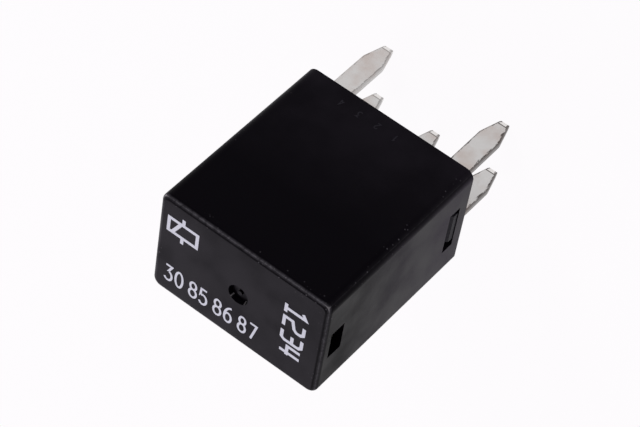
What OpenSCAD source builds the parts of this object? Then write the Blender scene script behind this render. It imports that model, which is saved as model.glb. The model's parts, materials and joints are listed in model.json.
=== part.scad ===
// Five-blade changeover relay of the ultra-micro class.
// A clipped cover over a moulded base, a clapper magnet and one set of changeover contacts.
// The origin is the centre of the base's underside. +Z runs to the label end, and the blades point along -Z.
// The armature is drawn released, as it stands with no current in the coil.

/* [Case] */
// Width of the case
case_w = 22.5; // [20:0.1:27]
// Depth of the case
case_d = 15; // [13.5:0.1:18]
// Height of the case without its blades
case_h = 25.2; // [22:0.1:32]
// Rounding of the four upright edges
corner_r = 1.15; // [0.9:0.05:2]
// Rounding of the edges round the label end
crown_r = 0.6; // [0.3:0.05:0.8]
// Thickness of the cover's side walls
wall = 0.9; // [0.7:0.05:0.95]
// Thickness of the cover's label end
crown_t = 1; // [0.8:0.05:1.4]
// Gap between the base and the cover's inner walls
case_gap = 0.1; // [0.05:0.05:0.15]
// Diameter of the gate dimple in the label end
dimple_d = 2.6; // [1.6:0.1:4]
// Depth of the gate dimple
dimple_deep = 0.5; // [0.3:0.05:0.8]
// How much narrower the dimple's floor is on each side
dimple_draft = 0.15; // [0.05:0.05:0.3]
// Thickness left under the dimple, where a boss inside makes up for it
dimple_floor = 0.8; // [0.5:0.05:1]
// Diameter of the gate stub left in the dimple
stub_d = 0.6; // [0.5:0.1:1.2]
// Height of that stub
stub_h = 0.2; // [0.1:0.05:0.25]

/* [Windows and latches] */
// Width of the latch window in each narrow side
latch_w = 6.2; // [4.5:0.1:8]
// Height of the latch window
latch_h = 1.8; // [1.4:0.1:2.2]
// Height of the latch window's lower edge above the base's underside
latch_z = 1.5; // [1:0.1:1.8]
// Width of the latch nose on the base
nose_w = 4.3; // [2:0.1:4.4]
// How far the nose stands back from the cover's outer face
nose_back = 0.1; // [0.1:0.05:0.5]
// Gap under the nose, in the window
nose_gap = 0.05; // [0.05:0.05:0.3]
// Height of the nose's flat face, below its ramp
nose_flat = 0.7; // [0.3:0.1:0.9]
// Width of the window near the label end
vent_w = 4; // [2:0.1:6]
// Height of the window near the label end
vent_h = 2.2; // [1:0.1:2.6]
// Distance from the label end to that window
vent_drop = 1.25; // [1.1:0.05:2]
// How far the stop ribs stand out of the narrow walls
rib_out = 0.45; // [0.3:0.05:0.5]
// Width of a stop rib
rib_w = 0.8; // [0.5:0.1:1]
// Distance from the cover's large walls to the middle of the ribs
rib_in = 1.2; // [1:0.1:1.5]
// Gap between the ribs and the base plate they stop
rib_gap = 0.05; // [0.03:0.01:0.1]

/* [Base] */
// Thickness of the base plate
base_t = 3.2; // [2.6:0.1:3.4]
// Height of the pads that carry the yoke's foot
pad_h = 0.3; // [0.3:0.05:0.6]
// Width of each pad
pad_w = 0.8; // [0.5:0.1:1]
// Thickness of the cheeks that hold the yoke's foot sideways
cheek_t = 0.6; // [0.4:0.1:0.8]
// Clearance between a cheek and the foot
cheek_gap = 0.05; // [0.03:0.01:0.1]
// Thickness of the wall between the coil and the contacts
barrier_t = 0.7; // [0.5:0.1:1]
// Height of that wall above the base plate
barrier_h = 13; // [6:0.5:14]
// How far that wall's foot is thicker than the wall
toe_out = 0.6; // [0.3:0.1:0.8]
// Height of the wall's foot above the base plate
toe_h = 2; // [1:0.5:4]
// Depth of the pocket round each blade
pocket_deep = 0.3; // [0.1:0.05:0.5]
// Width of the rim between a blade slot and its pocket's edge
pocket_rim = 0.5; // [0.3:0.05:0.8]

/* [Blades] */
// Width of a blade
blade_w = 2.8; // [2.4:0.1:3]
// Thickness of a blade and of the strip it is cut from
blade_t = 0.8; // [0.6:0.05:0.8]
// Length of a blade below the base
blade_len = 11.1; // [9:0.1:14]
// Length over which a blade narrows
point_len = 3.03; // [1.5:0.05:4]
// Width of a blade at its very end
tip_w = 1.1; // [0.8:0.05:1.6]
// Thickness of a blade's tip
tip_t = 0.3; // [0.2:0.05:0.5]
// Length of the bevel that thins the tip
tip_len = 0.65; // [0.3:0.05:1.2]
// Rounding of a blade's shoulders, where it starts to narrow
shoulder_r = 2.5; // [1:0.5:4]
// Bevel along a blade's long edges
edge_bevel = 0.12; // [0.04:0.02:0.2]
// Room from the outer blades' edges to the cover's narrow walls
column_room = 0.85; // [0.7:0.05:1.5]
// Room from the middle of a blade row to the cover's large wall
row_room = 2.65; // [2.5:0.05:3]
// Clearance round a blade in its slot
slot_gap = 0.03; // [0.02:0.01:0.05]
// How far a terminal's ears reach past its blade on each side
ear_out = 0.45; // [0.3:0.05:0.5]
// Height of the ears
ear_h = 0.6; // [0.4:0.05:0.7]
// Radius at the middle of the strip where a terminal is folded
fold_r = 0.8; // [0.6:0.05:0.9]

/* [Yoke and coil] */
// Thickness of the yoke
yoke_t = 1.3; // [1.1:0.05:1.4]
// How much narrower than its leg the yoke's foot is on each side
foot_in = 0.75; // [0.7:0.05:1.2]
// How far the foot reaches past the core
foot_past = 1.5; // [1:0.1:2.5]
// Rounding outside the yoke's bend
yoke_bend = 0.9; // [0.5:0.05:1.2]
// Distance from the blade column's centre out to the yoke's outer face
leg_out = 1.1; // [1:0.05:1.15]
// Rounding of the edge on which the armature rocks
hinge_r = 0.25; // [0.15:0.05:0.35]
// Thickness of the winding
winding_t = 1.82; // [1:0.02:2.2]
// Step from the core down to its tenon in the yoke's foot
tenon_step = 0.5; // [0.4:0.05:0.8]
// How far the pole plate reaches past the core
pole_rim = 1.6; // [1:0.1:2]
// Thickness of the pole plate
pole_t = 0.9; // [0.7:0.05:1]
// Thickness of the bobbin's tube
tube_t = 0.65; // [0.5:0.05:0.8]
// Thickness of each flange
flange_t = 0.9; // [0.7:0.05:1]
// Room from the flanges across to the make terminal
contact_room = 3.1; // [2.9:0.1:4]
// Gap between the flanges and the break terminal that passes them
strip_gap = 0.6; // [0.4:0.05:1]
// Gap between that terminal's strip and the cover's large wall
strip_room = 0.3; // [0.2:0.05:0.5]
// Gap between the flanges and the yoke's leg
leg_gap = 0.1; // [0.05:0.05:0.2]
// Gap between the flanges and the insulating wall
barrier_gap = 0.6; // [0.3:0.1:0.8]
// How far the flanges reach past the winding
flange_rim = 0.4; // [0.2:0.05:1]
// Width of one visible turn
turn_w = 0.5; // [0.4:0.05:1]
// Diameter of the lead wires
lead_d = 0.2; // [0.12:0.02:0.24]
// Height of the lower lead above the lower flange
lead_up = 0.25; // [0.2:0.05:0.5]
// How much higher the other lead crosses
lead_apart = 0.25; // [0:0.05:0.4]
// Width of the coil terminals' posts
post_w = 0.8; // [0.6:0.05:0.85]
// Distance from a coil blade's middle in to its post
post_in = 1.3; // [1.2:0.05:1.5]
// Height of those posts above the lower flange
post_h = 1.5; // [1.4:0.1:2]
// Turns of the lead round a post
wraps = 3; // [2:1:4]
// Thickness of the solder at a post's corners
solder_t = 0.2; // [0.1:0.05:0.3]
// Height of the common terminal's tab above the yoke's foot
tab_h = 4.5; // [2:0.1:8]

/* [Armature and contacts] */
// Thickness of the armature
armature_t = 1.2; // [0.9:0.05:1.3]
// How far the armature reaches past the yoke's leg on each side
armature_out = 0.65; // [0.2:0.05:1]
// How far the armature's nose reaches past the pole
nose_out = 1.1; // [0.5:0.1:1.6]
// Size of the corners cut from the nose
nose_cut = 1.6; // [1:0.1:2]
// Side clearance of the armature's neck between the yoke's prongs
neck_gap = 0.05; // [0.03:0.01:0.1]
// Width of each prong
prong_w = 0.7; // [0.5:0.05:0.8]
// Travel of the moving contact from one fixed contact to the other
contact_gap = 0.8; // [0.5:0.05:0.9]
// Clearance that is left between faces that meet when the armature moves
run_gap = 0.03; // [0.02:0.01:0.05]
// Diameter of the contacts
contact_d = 2.8; // [2.2:0.1:3]
// Height of a fixed contact's head
fixed_head = 0.6; // [0.4:0.05:0.7]
// Height of each head of the moving contact
moving_head = 0.5; // [0.4:0.05:0.55]
// Radius of the moving contact's domed faces
dome_r = 6; // [5:0.5:12]
// Diameter of the contacts' shanks
shank_d = 1.4; // [1:0.1:1.6]
// Clearance round a shank or boss in its hole
shank_gap = 0.02; // [0.01:0.01:0.04]
// Diameter of the armature's bosses
boss_d = 1.5; // [1.2:0.1:1.8]
// Diameter of the yoke's bosses
stud_d = 1.2; // [1:0.1:1.5]
// Height to which a boss or shank is staked over what it holds
stake_h = 0.3; // [0.2:0.05:0.4]
// How far it then reaches past its hole's edge
stake_out = 0.3; // [0.2:0.05:0.4]
// Thickness of the contact spring
leaf_t = 0.25; // [0.15:0.01:0.3]
// Width of the contact spring
leaf_w = 4.8; // [4:0.1:5]
// Radius of the spring's folds
leaf_fold = 0.6; // [0.4:0.05:0.7]
// Height of the spring's lower end above the yoke's foot
leaf_up = 5; // [4:0.5:5.5]
// Distance from the spring's lower end up to the yoke's bosses
stud_up = 1.6; // [1.3:0.1:1.8]
// Distance between the yoke's two bosses
stud_apart = 2.6; // [2.4:0.1:3]
// How far below the pole the spring leaves the yoke
knee_drop = 2.4; // [2.2:0.1:2.8]
// How far the spring then stands off the yoke
knee_out = 0.6; // [0.5:0.05:0.7]
// Rim of the spring round the moving contact
eye_rim = 0.3; // [0.2:0.05:0.5]
// How far the fixed contacts' tongues reach past them
tongue_out = 0.5; // [0.3:0.1:0.8]
// Headroom between the break terminal and the cover
headroom = 1.5; // [1:0.1:3]

/* [Hidden] */
$fn = 64;

// Extra length that carries a cut clear through what it cuts
over = 1;
// Straight pieces in a fold's quarter turn, and sides of a lead wire
fold_steps = 6;
wire_sides = 8;

// Case: the cover's inner space and the base plate that closes it
inner_w = case_w - 2 * wall;
inner_d = case_d - 2 * wall;
inner_h = case_h - crown_t;
inner_r = max(corner_r - wall, 0.2);
base_w = inner_w - 2 * case_gap;
base_d = inner_d - 2 * case_gap;

// Where the stop ribs stand on the narrow walls
rib_y = inner_d / 2 - rib_in;

// Blade grid: two outer columns and one on the middle line, in two rows
grid_x = inner_w / 2 - column_room - blade_w / 2;
back_y = inner_d / 2 - row_room;
front_y = -back_y;

// Where parts are laid on each other they keep this apart, and where an edge stays short of another, it is by this
lay_gap = 0.01;
set_back = 0.1;

// Heights: the magnet fills what the contacts above it and the base below it leave
stack_h = run_gap + armature_t + leaf_t + 2 * lay_gap + moving_head + contact_gap + run_gap + fixed_head + blade_t;
pole_z = inner_h - headroom - stack_h;
foot_z = base_t + pad_h;
foot_top = foot_z + yoke_t;
winding_z = foot_top + flange_t;
flange_z = pole_z - pole_t - flange_t;
winding_h = flange_z - winding_z;

// Places across: yoke, flanges, core, and the wall before the contacts
leg_x = -grid_x - leg_out;
leg_in = leg_x + yoke_t;
leg_w = 2 * back_y - blade_t;
flange_x = leg_in + leg_gap;
flange_w = grid_x - blade_w / 2 - contact_room - flange_x;
core_x = flange_x + flange_w / 2;
barrier_x = flange_x + flange_w + barrier_gap;

// Places through the depth: the break terminal's strip behind the cover's wall, and the flanges beside it
strip_out_y = -inner_d / 2 + strip_room + blade_t / 2;
flange_d = 2 * (-strip_out_y - blade_t / 2 - strip_gap);
winding_d = min(flange_w, flange_d) - 2 * flange_rim;

// Coil, from the winding in to the core, and what is sized by the core and the yoke's leg
tube_d = winding_d - 2 * winding_t;
core_d = tube_d - 2 * tube_t - 2 * slot_gap;
tenon_d = core_d - 2 * tenon_step;
pole_d = core_d + 2 * pole_rim;
foot_end = core_x + core_d / 2 + foot_past;
foot_w = leg_w - 2 * foot_in;
armature_w = leg_w + 2 * armature_out;

// Hinge: the armature rocks on the yoke's rounded outer edge
hinge = [leg_x + hinge_r, pole_z - hinge_r];
contact_x = grid_x;
lever = contact_x - hinge.x;
open_deg = asin(contact_gap / lever);

// Armature and spring, with the armature held down on the pole
plate_z = pole_z + run_gap;
plate_top = plate_z + armature_t;
plate_back = leg_x - set_back;
plate_nose = core_x + pole_d / 2 + nose_out;
neck_w = leg_w - 2 * prong_w - 2 * neck_gap;
leaf_z = plate_top + lay_gap;
leaf_top = leaf_z + leaf_t;

// Contacts: the fixed ones meet the moving one's two domes at the ends of its travel
make_z = leaf_z - lay_gap - moving_head - run_gap;
break_z = hinge.y + lever * sin(open_deg) + (leaf_top + lay_gap + moving_head - dome_r - hinge.y) * cos(open_deg)
  + dome_r + run_gap;
make_strip_z = make_z - fixed_head - blade_t / 2;
break_strip_z = break_z + fixed_head + blade_t / 2;
tongue_end = contact_d / 2 + tongue_out;

// Coil terminals: the height of their posts' tops
post_z = winding_z + post_h;

// Leads: the heights at which they leave the winding, and the rise of each turn round a post
low_lead_z = winding_z + lead_up;
high_lead_z = low_lead_z + lead_apart;
wrap_rise = lead_d + 0.02;

// Moves a point, given as [x, z] with the armature held down, to where it stands released
function released(p) = let (d = p - hinge)
  hinge + [d.x * cos(open_deg) - d.y * sin(open_deg), d.x * sin(open_deg) + d.y * cos(open_deg)];

module release() {
  translate([hinge.x, 0, hinge.y]) rotate([0, -open_deg, 0]) translate([-hinge.x, 0, -hinge.y]) children();
}

// ---------- helpers ----------

// Extrudes a shape drawn in (y, z) along X, or one drawn in (x, z) along Y, from low to high
module along_x(low, high) {
  translate([low, 0, 0]) rotate([90, 0, 90]) linear_extrude(high - low) children();
}

module along_y(low, high) {
  translate([0, high, 0]) rotate([90, 0, 0]) linear_extrude(high - low) children();
}

module both_sides() {
  children();
  mirror([1, 0, 0]) children();
}

module rounded_plate(w, d, r) {
  square([w - 2 * r, d], center = true);
  square([w, d - 2 * r], center = true);
  for (x = [-1, 1], y = [-1, 1])
    translate([x * (w / 2 - r), y * (d / 2 - r)]) circle(r);
}

// What is cut from a square corner at the origin to round it
module corner_waste(r) {
  difference() {
    translate([-over, -over]) square(r + over);
    translate([r, r]) circle(r);
  }
}

// The edge of a sheet folded along a path: one side of it, offset by d, with each bend as an arc
function heading(a, b) = atan2(b.y - a.y, b.x - a.x);
function turn(path, i) = let (t = heading(path[i], path[i + 1]) - heading(path[i - 1], path[i]))
  t > 180 ? t - 360 : t < -180 ? t + 360 : t;
function left(a) = [-sin(a), cos(a)];
function bend(path, i, r, d) = let (
    a = heading(path[i - 1], path[i]),
    t = turn(path, i),
    side = sign(t),
    from = path[i] - [cos(a), sin(a)] * r * tan(abs(t) / 2),
    centre = from + side * r * left(a)
  ) [for (k = [0 : fold_steps]) centre + left(a + t * k / fold_steps) * (d - side * r)];
function side_of(path, r, d) = let (n = len(path)) concat(
    [path[0] + d * left(heading(path[0], path[1]))],
    [for (i = [1 : n - 2]) each bend(path, i, r, d)],
    [path[n - 1] + d * left(heading(path[n - 2], path[n - 1]))]
  );
function reversed(list) = [for (i = [len(list) - 1 : -1 : 0]) list[i]];

module folded_sheet(path, t, r, tip = []) {
  polygon(concat(side_of(path, r, -t / 2), reversed(side_of(path, r, t / 2)), tip));
}

// A round wire swept along a path of points that nowhere climbs steeply
function ring(path, i, d) = let (
    n = len(path),
    a = path[max(i - 1, 0)],
    b = path[min(i + 1, n - 1)],
    t = (b - a) / norm(b - a),
    across = cross(t, [0, 0, 1]) / norm(cross(t, [0, 0, 1])),
    up = cross(across, t)
  ) [for (k = [0 : wire_sides - 1]) let (w = 360 * k / wire_sides)
    path[i] + d / 2 * (cos(w) * across + sin(w) * up)];

module wire(path, d) {
  n = len(path);
  s = wire_sides;
  points = [for (i = [0 : n - 1]) each ring(path, i, d)];
  walls = [for (i = [0 : n - 2], k = [0 : s - 1]) let (m = (k + 1) % s)
    [i * s + k, (i + 1) * s + k, (i + 1) * s + m, i * s + m]];
  ends = [[for (k = [0 : s - 1]) k], [for (k = [s - 1 : -1 : 0]) (n - 1) * s + k]];
  polyhedron(points, concat(walls, ends), convexity = 6);
}

// ---------- cover ----------

// Half of an upright slice through the case, from the middle out to its rounded top edge
module case_slice(half) {
  square([half, case_h - crown_r]);
  square([half - crown_r, case_h]);
  intersection() {
    translate([half - crown_r, case_h - crown_r]) circle(crown_r);
    square([half, case_h]);
  }
}

module case_form() {
  along_x(-case_w / 2 + corner_r, case_w / 2 - corner_r) both_sides() case_slice(case_d / 2);
  along_y(-case_d / 2 + corner_r, case_d / 2 - corner_r) both_sides() case_slice(case_w / 2);
  for (q = [0 : 3]) {
    x = (q == 0 || q == 3 ? 1 : -1) * (case_w / 2 - corner_r);
    y = (q < 2 ? 1 : -1) * (case_d / 2 - corner_r);
    translate([x, y, 0]) rotate(90 * q) rotate_extrude(angle = 90) case_slice(corner_r);
  }
}

module cover() {
  dimple_z = case_h - dimple_deep;
  color("#141318") {
    difference() {
      case_form();
      translate([0, 0, -over]) linear_extrude(inner_h + over) rounded_plate(inner_w, inner_d, inner_r);
      translate([-case_w, -latch_w / 2, latch_z]) cube([2 * case_w, latch_w, latch_h]);
      translate([-case_w, -vent_w / 2, case_h - vent_drop - vent_h]) cube([2 * case_w, vent_w, vent_h]);
      translate([0, 0, dimple_z]) cylinder(
        h = dimple_deep + over, d1 = dimple_d - 2 * dimple_draft, d2 = dimple_d + 2 * dimple_draft * over / dimple_deep
      );
    }
    translate([0, 0, dimple_z - dimple_floor]) {
      cylinder(h = dimple_floor, d = dimple_d + crown_t);
      cylinder(h = dimple_floor + stub_h, d = stub_d);
    }
    // ribs down the narrow walls, which stop the base plate
    for (y = [-1, 1])
      both_sides() translate([inner_w / 2 - rib_out, y * rib_y - rib_w / 2, base_t + rib_gap])
        cube([rib_out + wall / 2, rib_w, inner_h - base_t]);
  }
}

// ---------- base ----------

module slot_at(x, y, grow, low, high) {
  w = blade_w + 2 * grow;
  t = blade_t + 2 * grow;
  translate([x - w / 2, y - t / 2, low]) cube([w, t, high - low]);
}

module base() {
  sites = [[-grid_x, front_y], [0, front_y], [grid_x, front_y], [-grid_x, back_y], [grid_x, back_y]];
  nose_z = latch_z + nose_gap;
  nose_x = case_w / 2 - nose_back;
  ramp_top = base_t - set_back;
  pad_xs = [leg_in + 1, foot_end - set_back - pad_w];
  cheek_x = leg_in + 2;
  cheek_w = core_x - tenon_step - set_back - cheek_x;
  // the wall stops short of the lead that passes behind it
  lead_room = 0.65;
  barrier_w = flange_d / 2 + back_y - blade_t / 2 - lead_room;
  color("#1b1a1e") difference() {
    union() {
      linear_extrude(base_t) rounded_plate(base_w, base_d, inner_r);
      // latch noses: flat underneath, ramped above, so that the cover rides over them and catches behind
      both_sides() along_y(-nose_w / 2, nose_w / 2) polygon([
        [base_w / 2 - over, nose_z], [nose_x, nose_z], [nose_x, nose_z + nose_flat],
        [base_w / 2, ramp_top], [base_w / 2 - over, ramp_top]
      ]);
      // two pads under the yoke's foot, and a cheek along each side of it
      for (x = pad_xs)
        translate([x, -foot_w / 2, base_t - over]) cube([pad_w, foot_w, pad_h + over]);
      for (y = [-1, 1])
        translate([cheek_x, y * (foot_w / 2 + cheek_gap + cheek_t / 2) - cheek_t / 2, base_t - over])
          cube([cheek_w, cheek_t, foot_top - set_back - base_t + over]);
      // insulating wall between the coil and the contacts, stiffened by its own foot
      translate([barrier_x, -flange_d / 2, base_t - over]) {
        cube([barrier_t, barrier_w, barrier_h + over]);
        cube([barrier_t + toe_out, barrier_w, toe_h + over]);
      }
    }
    for (p = sites) {
      slot_at(p.x, p.y, slot_gap, -over, base_t + over);
      slot_at(p.x, p.y, pocket_rim, -over, pocket_deep);
    }
  }
}

// ---------- terminals ----------

// One side of a blade as it is stamped, with the shoulder where it starts to narrow, centred on x = 0
bevel_z = -blade_len + tip_len;
shoulder = [blade_w / 2, -blade_len + point_len];
function blade_side(top) = side_of([[tip_w / 2, -blade_len], shoulder, [blade_w / 2, top]], shoulder_r, 0);

module blade_outline(top) {
  half = blade_side(top);
  polygon(concat(half, [for (p = reversed(half)) [-p.x, p.y]]));
}

// What bevels the long edges of a blade that stands on the Z axis: square bars, each with its middle on one edge
// and turned on its corner. The upper ones reach up into the base.
module edge_bars() {
  bar = edge_bevel * sqrt(2);
  for (run = [[[tip_w / 2, -blade_len], shoulder], [shoulder, [blade_w / 2, 0]]]) {
    along = run[1] - run[0];
    both_sides() for (face = [-1, 1])
      translate([run[0].x, face * blade_t / 2, run[0].y]) rotate([0, atan2(along.x, along.y), 0]) rotate(45)
        translate([-bar / 2, -bar / 2, -over]) cube([bar, bar, norm(along) + 2 * over]);
  }
}

module ears() {
  translate([-blade_w / 2 - ear_out, base_t]) square([blade_w + 2 * ear_out, ear_h]);
}

// The folded edge of a terminal, whose path starts at the top of the tip's bevel
module terminal_edge(path) {
  low = path[0].y - tip_len;
  tip = [[path[0].x - tip_t / 2, low], [path[0].x + tip_t / 2, low]];
  folded_sheet(path, blade_t, fold_r, tip);
}

// A terminal: the outline, drawn in (x, z) and stamped at the given x, folded along a path, drawn in (y, z)
module terminal(x, path) {
  color("#c6c2bd") difference() {
    intersection() {
      along_x(-case_w / 2, case_w / 2) terminal_edge(path);
      translate([x, 0, 0]) along_y(-case_d / 2, case_d / 2) children();
    }
    translate([x, path[0].x, 0]) edge_bars();
  }
}

// Common: welded to the side of the yoke's leg
module terminal_30() {
  tab_top = foot_top + tab_h;
  terminal(-grid_x, [[front_y, bevel_z], [front_y, tab_top]]) {
    blade_outline(base_t + ear_h / 2);
    ears();
    translate([leg_x + grid_x, base_t]) square([yoke_t, tab_top - base_t]);
  }
}

// Coil ends: a shoulder on the base, and a post that carries the wrapped and soldered lead
module coil_terminal() {
  neck = 0.9;
  shoulder_h = 0.6;
  shoulder_out = 0.8;
  terminal(-grid_x, [[back_y, bevel_z], [back_y, post_z]]) {
    blade_outline(base_t - 0.7);
    translate([blade_w / 2 - neck, 0]) square([neck, base_t + shoulder_h]);
    translate([blade_w / 2 - neck, base_t]) square([neck + shoulder_out, shoulder_h]);
    translate([post_in - post_w / 2, base_t]) square([post_w, post_z - base_t]);
  }
}

module terminal_86() {
  coil_terminal();
}

module terminal_85() {
  mirror([1, 0, 0]) coil_terminal();
}

// A hole for a contact's shank in the tongue of a terminal
module tongue_hole(z) {
  translate([contact_x, 0, z - blade_t]) cylinder(h = 2 * blade_t, d = shank_d + 2 * shank_gap);
}

// Make side: straight up from its blade, then folded in under the moving contact
module terminal_87() {
  difference() {
    terminal(grid_x, [[front_y, bevel_z], [front_y, make_strip_z], [tongue_end, make_strip_z]]) {
      blade_outline(make_strip_z + blade_t);
      ears();
    }
    tongue_hole(make_strip_z);
  }
}

// Break side: joggled out past the coil, across to the contacts, and folded in over the moving contact
module terminal_87a() {
  straight = 0.6;
  lap = 0.2;
  joggle_z = base_t + fold_r;
  rise = (break_strip_z - joggle_z) / 2;
  low = joggle_z + fold_r + straight;
  left_x = grid_x - blade_w / 2;
  right_x = grid_x + blade_w / 2;
  top = break_strip_z + blade_t;
  difference() {
    terminal(0, [[front_y, bevel_z], [front_y, joggle_z], [strip_out_y, joggle_z],
      [strip_out_y, break_strip_z], [tongue_end, break_strip_z]]) {
      blade_outline(low + lap);
      ears();
      polygon([[-blade_w / 2, low], [blade_w / 2, low], [right_x, low + rise], [right_x, top],
        [left_x, top], [left_x, low + rise + blade_w / 2], [-blade_w / 2, low + 0.8 * blade_w]]);
    }
    tongue_hole(break_strip_z);
  }
}

// ---------- contacts ----------

// A riveted contact: flat head on the strip, shank through it, and a flat tail behind
module fixed_contact() {
  edge = 0.15;
  color("#dcdad5") rotate_extrude() polygon([
    [0, fixed_head], [contact_d / 2 - edge, fixed_head], [contact_d / 2, fixed_head - edge],
    [contact_d / 2, 0], [shank_d / 2, 0], [shank_d / 2, -blade_t],
    [shank_d / 2 + stake_out, -blade_t], [(shank_d + stake_out) / 2, -blade_t - stake_h], [0, -blade_t - stake_h]
  ]);
}

module contact_87() {
  translate([contact_x, 0, make_z - fixed_head]) fixed_contact();
}

module contact_87a() {
  translate([contact_x, 0, break_z + fixed_head]) mirror([0, 0, 1]) fixed_contact();
}

// One rivet with a domed head on each side of the spring
module dome_head() {
  intersection() {
    cylinder(h = moving_head, d = contact_d);
    translate([0, 0, moving_head - dome_r]) sphere(dome_r, $fn = 180);
  }
}

module moving_contact() {
  mid = leaf_z + leaf_t / 2;
  half = leaf_t / 2 + lay_gap;
  color("#dcdad5") release() translate([contact_x, 0, mid]) {
    cylinder(h = 2 * half, d = shank_d, center = true);
    for (s = [0, 1]) mirror([0, 0, s]) translate([0, 0, half]) dome_head();
  }
}

// ---------- spring, armature, yoke ----------

boss_xs = [core_x - pole_d / 2 + 0.6, core_x + pole_d / 2 - 1.6];
stud_ys = [-stud_apart / 2, stud_apart / 2];
leaf_low = foot_top + leaf_up;
stud_z = leaf_low + stud_up;

// A boss that rises from its own plate, goes through the spring and is staked over it
module staked_boss(d) {
  root = 0.25;
  leaf = leaf_t + 2 * lay_gap;
  translate([0, 0, -root]) cylinder(h = root + leaf, d = d);
  translate([0, 0, leaf]) cylinder(h = stake_h, d1 = d + 2 * stake_out, d2 = d + stake_out);
}

module contact_spring() {
  leaf_mid = leaf_z + leaf_t / 2;
  back_x = leg_x - lay_gap - leaf_t / 2;
  knee_x = back_x - knee_out;
  knee_z = pole_z - knee_drop;
  tip = released([contact_x + 2, leaf_mid]);
  corner_z = tip.y - (tip.x - knee_x) * tan(open_deg);
  nose = released([contact_x, leaf_mid]);
  eye_r = contact_d / 2 + eye_rim;
  path = [[back_x, leaf_low], [back_x, knee_z], [knee_x, knee_z + 2 * knee_out], [knee_x, corner_z], tip];
  color("#b98a4a") difference() {
    intersection() {
      along_y(-leaf_w / 2, leaf_w / 2) folded_sheet(path, leaf_t, leaf_fold);
      linear_extrude(case_h) {
        // full width along the armature, then narrowing to an eye round the contact
        arm_x = released([plate_nose, leaf_mid]).x;
        translate([-case_w / 2, -leaf_w / 2]) square([case_w / 2 + arm_x, leaf_w]);
        polygon([[arm_x - set_back, -leaf_w / 2], [nose.x, -eye_r], [nose.x, eye_r], [arm_x - set_back, leaf_w / 2]]);
        translate([nose.x, 0]) circle(eye_r);
      }
    }
    // window that leaves two arms round the armature's back edge
    translate([leg_x - over, -leaf_w / 4, knee_z - 1]) cube([2 * over + knee_out, leaf_w / 2, case_h]);
    release() {
      for (x = boss_xs) translate([x, 0, plate_top - over]) cylinder(h = 3 * over, d = boss_d + 2 * shank_gap);
      translate([contact_x, 0, plate_top - over]) cylinder(h = 3 * over, d = shank_d + 2 * shank_gap);
    }
    for (y = stud_ys)
      translate([leg_x - over, y, stud_z]) rotate([0, 90, 0]) cylinder(h = 2 * over, d = stud_d + 2 * shank_gap);
  }
}

module armature() {
  neck_end = leg_in + 0.2;
  color("#8d8f93") release() {
    translate([0, 0, plate_z]) linear_extrude(armature_t) polygon([
      [plate_back, -neck_w / 2], [neck_end, -neck_w / 2], [neck_end, -armature_w / 2],
      [plate_nose - nose_cut, -armature_w / 2], [plate_nose, -armature_w / 2 + nose_cut],
      [plate_nose, armature_w / 2 - nose_cut], [plate_nose - nose_cut, armature_w / 2],
      [neck_end, armature_w / 2], [neck_end, neck_w / 2], [plate_back, neck_w / 2]
    ]);
    for (x = boss_xs) translate([x, 0, plate_top]) staked_boss(boss_d);
  }
}

module yoke() {
  color("#83868b") {
    difference() {
      union() {
        intersection() {
          along_y(-leg_w / 2, leg_w / 2) difference() {
            union() {
              translate([leg_x, foot_z]) square([yoke_t, pole_z - foot_z]);
              translate([leg_x, foot_z]) square([foot_end - leg_x, yoke_t]);
            }
            translate([leg_x, foot_z]) corner_waste(yoke_bend);
            translate([leg_x, pole_z]) mirror([0, 1]) corner_waste(hinge_r);
          }
          // seen from above, the foot is narrower than the leg
          linear_extrude(case_h) {
            translate([leg_x - over, -leg_w / 2]) square([yoke_t + over, leg_w]);
            translate([leg_x, -foot_w / 2]) square([foot_end - leg_x, foot_w]);
          }
        }
        // prongs that keep the armature's neck in place sideways
        for (y = [-1, 1])
          translate([leg_x + hinge_r, y * (leg_w - prong_w) / 2 - prong_w / 2, pole_z - over])
            cube([yoke_t - hinge_r, prong_w, over + armature_t]);
      }
      translate([core_x, 0, foot_z - over]) cylinder(h = yoke_t + 2 * over, d = tenon_d + 2 * shank_gap);
    }
    for (y = stud_ys) translate([leg_x, y, stud_z]) rotate([0, -90, 0]) staked_boss(stud_d);
  }
}

// ---------- coil ----------

// Turned core: tenon staked under the yoke's foot, shaft, and pole plate
module core() {
  stake = pad_h - 0.05;
  edge = 0.15;
  color("#9a9da1") translate([core_x, 0, 0]) rotate_extrude() polygon([
    [0, foot_z - stake], [tenon_d / 2 + stake_out, foot_z - stake], [tenon_d / 2 + stake_out + 0.2, foot_z],
    [tenon_d / 2, foot_z], [tenon_d / 2, foot_top], [core_d / 2, foot_top],
    [core_d / 2, pole_z - pole_t], [pole_d / 2, pole_z - pole_t],
    [pole_d / 2, pole_z - edge], [pole_d / 2 - edge, pole_z], [0, pole_z]
  ]);
}

module bobbin() {
  notch = post_w + 0.8;
  color("#23262e") translate([core_x, 0, 0]) difference() {
    union() {
      for (z = [foot_top, flange_z])
        translate([0, 0, z]) linear_extrude(flange_t) rounded_plate(flange_w, flange_d, 0.5);
      translate([0, 0, foot_top]) cylinder(h = flange_z + flange_t - foot_top, d = tube_d);
    }
    translate([0, 0, foot_top - over]) cylinder(h = winding_h + 2 * flange_t + 2 * over, d = core_d + 2 * slot_gap);
    // the coil terminal beside the yoke stands in a notch of the lower flange
    translate([-flange_w / 2 - over, back_y - blade_t / 2 - 0.2, foot_top - over])
      cube([notch + over, flange_d, flange_t + 2 * over]);
    // a slot through which each lead leaves the winding space
    translate([flange_w / 2 - 1.2, flange_d / 2 - 1.4, foot_top - over]) cube([0.4, 3, flange_t + 2 * over]);
  }
}

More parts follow.
